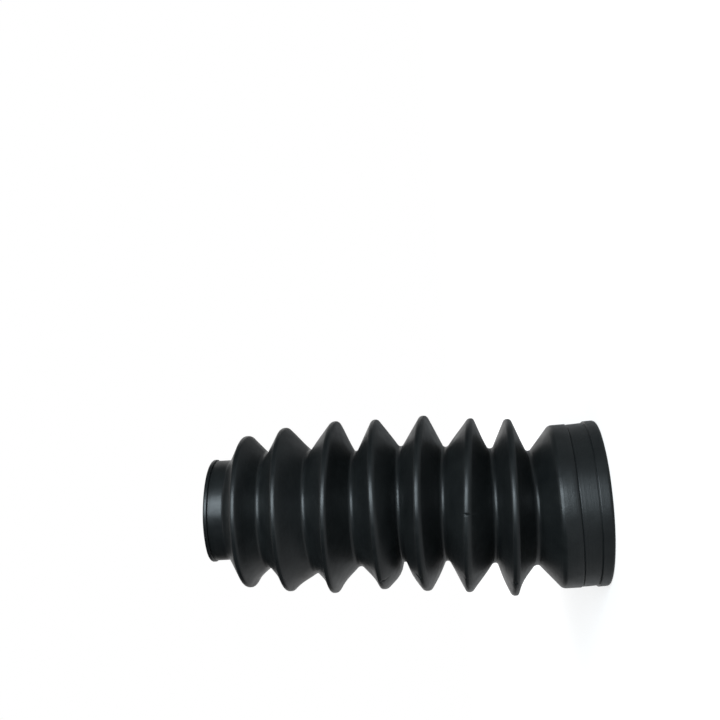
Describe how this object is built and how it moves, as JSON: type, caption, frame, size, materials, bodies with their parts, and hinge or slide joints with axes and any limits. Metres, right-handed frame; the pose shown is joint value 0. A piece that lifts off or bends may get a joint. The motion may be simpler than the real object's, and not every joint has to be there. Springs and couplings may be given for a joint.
{
  "type": "fork gaiter",
  "caption": "Moulded rubber bellows for a telescopic motorcycle fork leg, with a wide cuff at one end, deep round folds and a narrow collar at the other.",
  "frame": {"origin": "on the surface that the big cuff stands on, under the middle of the whole gaiter", "axes": "+Z runs along the gaiter from the big cuff to the small collar; +X and +Y are across it"},
  "size_m": [0.0794, 0.0768, 0.1703],
  "materials": {
    "rubber": "satin"
  },
  "bodies": {
    "root": {"fork_gaiter": "rubber"}
  },
  "joints": []
}
